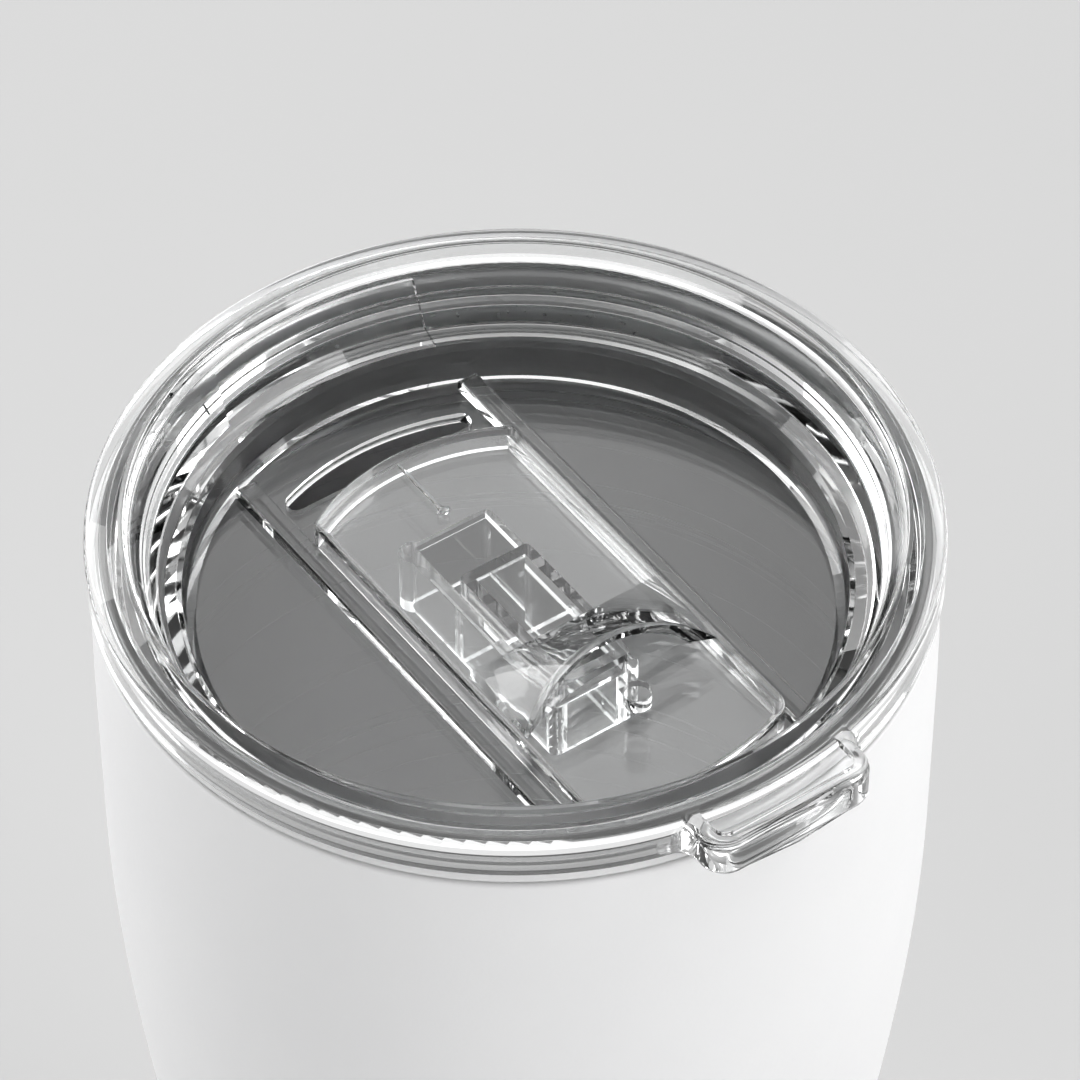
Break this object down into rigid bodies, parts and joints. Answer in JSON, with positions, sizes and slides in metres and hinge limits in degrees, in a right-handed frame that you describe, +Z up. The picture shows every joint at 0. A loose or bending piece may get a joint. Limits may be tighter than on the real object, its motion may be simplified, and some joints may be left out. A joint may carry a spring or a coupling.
{
  "type": "insulated tumbler with lid",
  "caption": "Double-walled vacuum tumbler, white powder coat outside, with a clear press-in lid, lift tab and sliding drink closure.",
  "frame": {"origin": "centre of the base, on the plane that the cup stands on", "axes": "+Z up along the cup's axis, the lift tab towards -Y, the drink opening towards +Y"},
  "size_m": [0.091, 0.0952, 0.1737],
  "materials": {
    "powder_coat": "fine white powder coat, satin",
    "cup_steel": "electropolished stainless steel",
    "foil": "bright foil",
    "base_steel": "turned and brushed stainless steel",
    "solder_glass": "dark solder glass",
    "getter_steel": "plain sheet",
    "getter_powder": "pressed metal powder",
    "clear_lid": "clear moulded copolyester, gloss",
    "silicone": "translucent silicone",
    "clear_slider": "clear moulded copolyester, gloss"
  },
  "bodies": {
    "cup": {"outer_shell": "powder_coat", "inner_cup": "cup_steel", "radiation_foil": "foil", "vacuum_base": "base_steel", "vacuum_seal": "solder_glass", "base_cover": "base_steel", "getter_pan": "getter_steel", "getter_pellet": "getter_powder"},
    "lid": {"lid_body": "clear_lid", "lid_gasket": "silicone"},
    "closure": {"slider": "clear_slider"}
  },
  "joints": [
    {"name": "lid_lift", "type": "slide", "parent": "cup", "child": "lid", "axis": [0, 0, 1], "range_m": [0, 0.05]},
    {"name": "closure_slide", "type": "slide", "parent": "lid", "child": "closure", "axis": [0, 1, 0], "range_m": [0, 0.008]}
  ]
}
